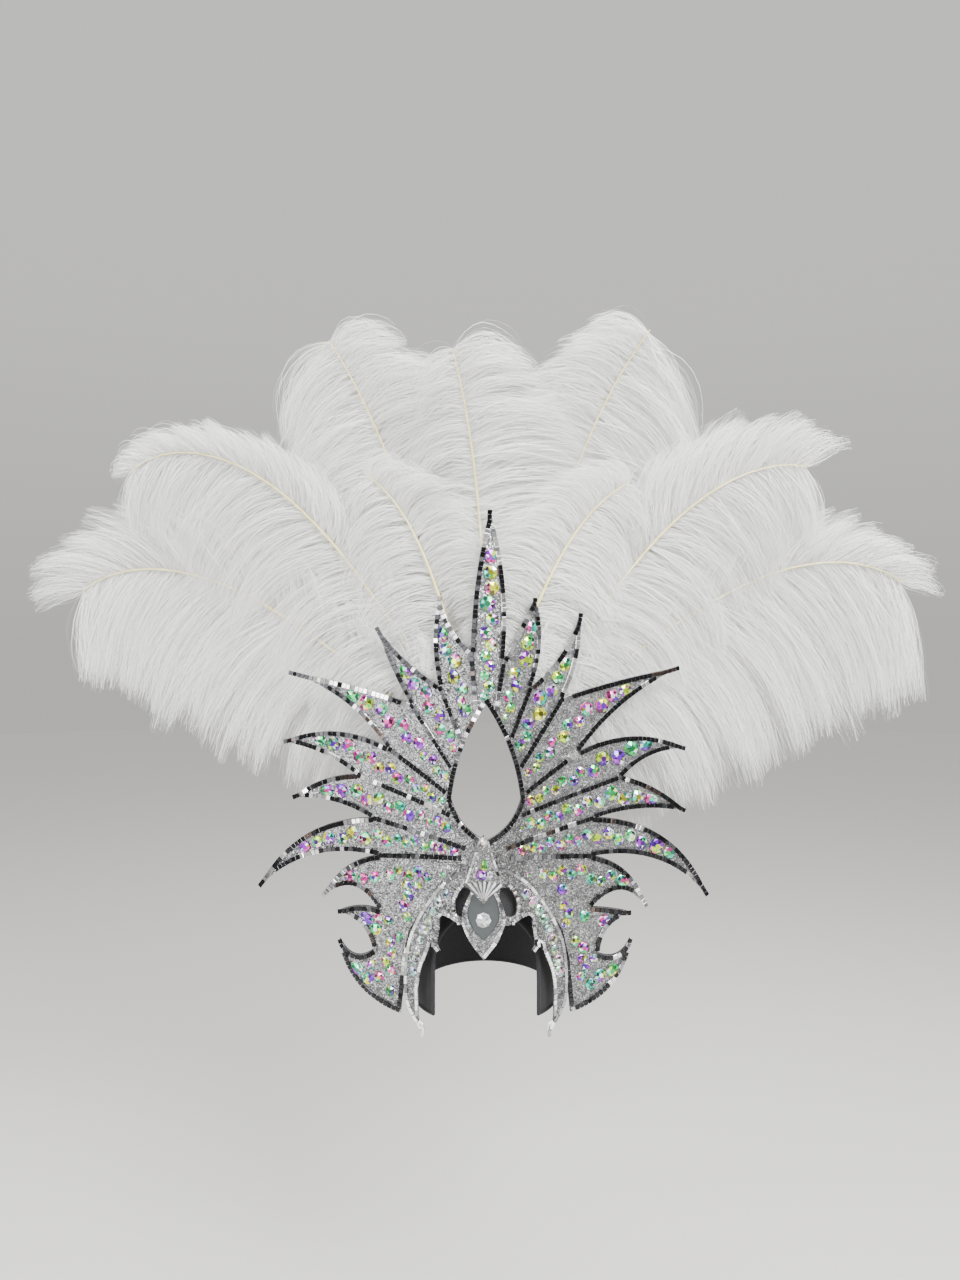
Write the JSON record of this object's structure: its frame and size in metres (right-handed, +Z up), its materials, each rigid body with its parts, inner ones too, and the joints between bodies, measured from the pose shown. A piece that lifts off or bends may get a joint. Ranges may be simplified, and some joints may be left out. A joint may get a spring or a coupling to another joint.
{
  "type": "carnival feather headdress",
  "caption": "Carnival headdress: a spiked, jewelled foam crown on a black skull cap, with a face frame and a fan of long ostrich plumes.",
  "frame": {"origin": "the head seat: the top of the inside of the skull cap, on the head's middle line", "axes": "+X to the viewer's right across the crown, +Y away from the viewer towards the back of the head, +Z up"},
  "size_m": [1.0206, 0.2149, 0.7412],
  "materials": {
    "black_felt": "matt black stretch felt",
    "black_foam": "matt black craft foam",
    "glitter_foam": "silver glitter fabric",
    "mirror_tile": "small mirror tiles on tape",
    "crystal": "iridescent faceted stones",
    "grey_glass": "dark grey gloss with a tile border",
    "ostrich_feather": "soft white ostrich barbs on a pale quill"
  },
  "bodies": {
    "root": {"head_cap": "black_felt", "crown_support": "black_foam", "crown_plate": "black_foam", "gem_field_left": "glitter_foam", "gem_field_right": "glitter_foam", "mirror_trim": "mirror_tile", "face_frame": "glitter_foam", "frame_trim": "mirror_tile", "frame_gems_left": "crystal", "frame_gems_right": "crystal", "brow_panel": "grey_glass", "brow_gem": "crystal", "crest": "glitter_foam", "crest_gem": "crystal", "crest_top_gem": "crystal", "plume_left_low": "ostrich_feather", "plume_left_high": "ostrich_feather", "plume_left_top": "ostrich_feather", "plume_centre": "ostrich_feather", "plume_right_top": "ostrich_feather", "plume_right_high": "ostrich_feather", "plume_right_low": "ostrich_feather", "plume_front_left": "ostrich_feather", "plume_front_right": "ostrich_feather"}
  },
  "joints": []
}
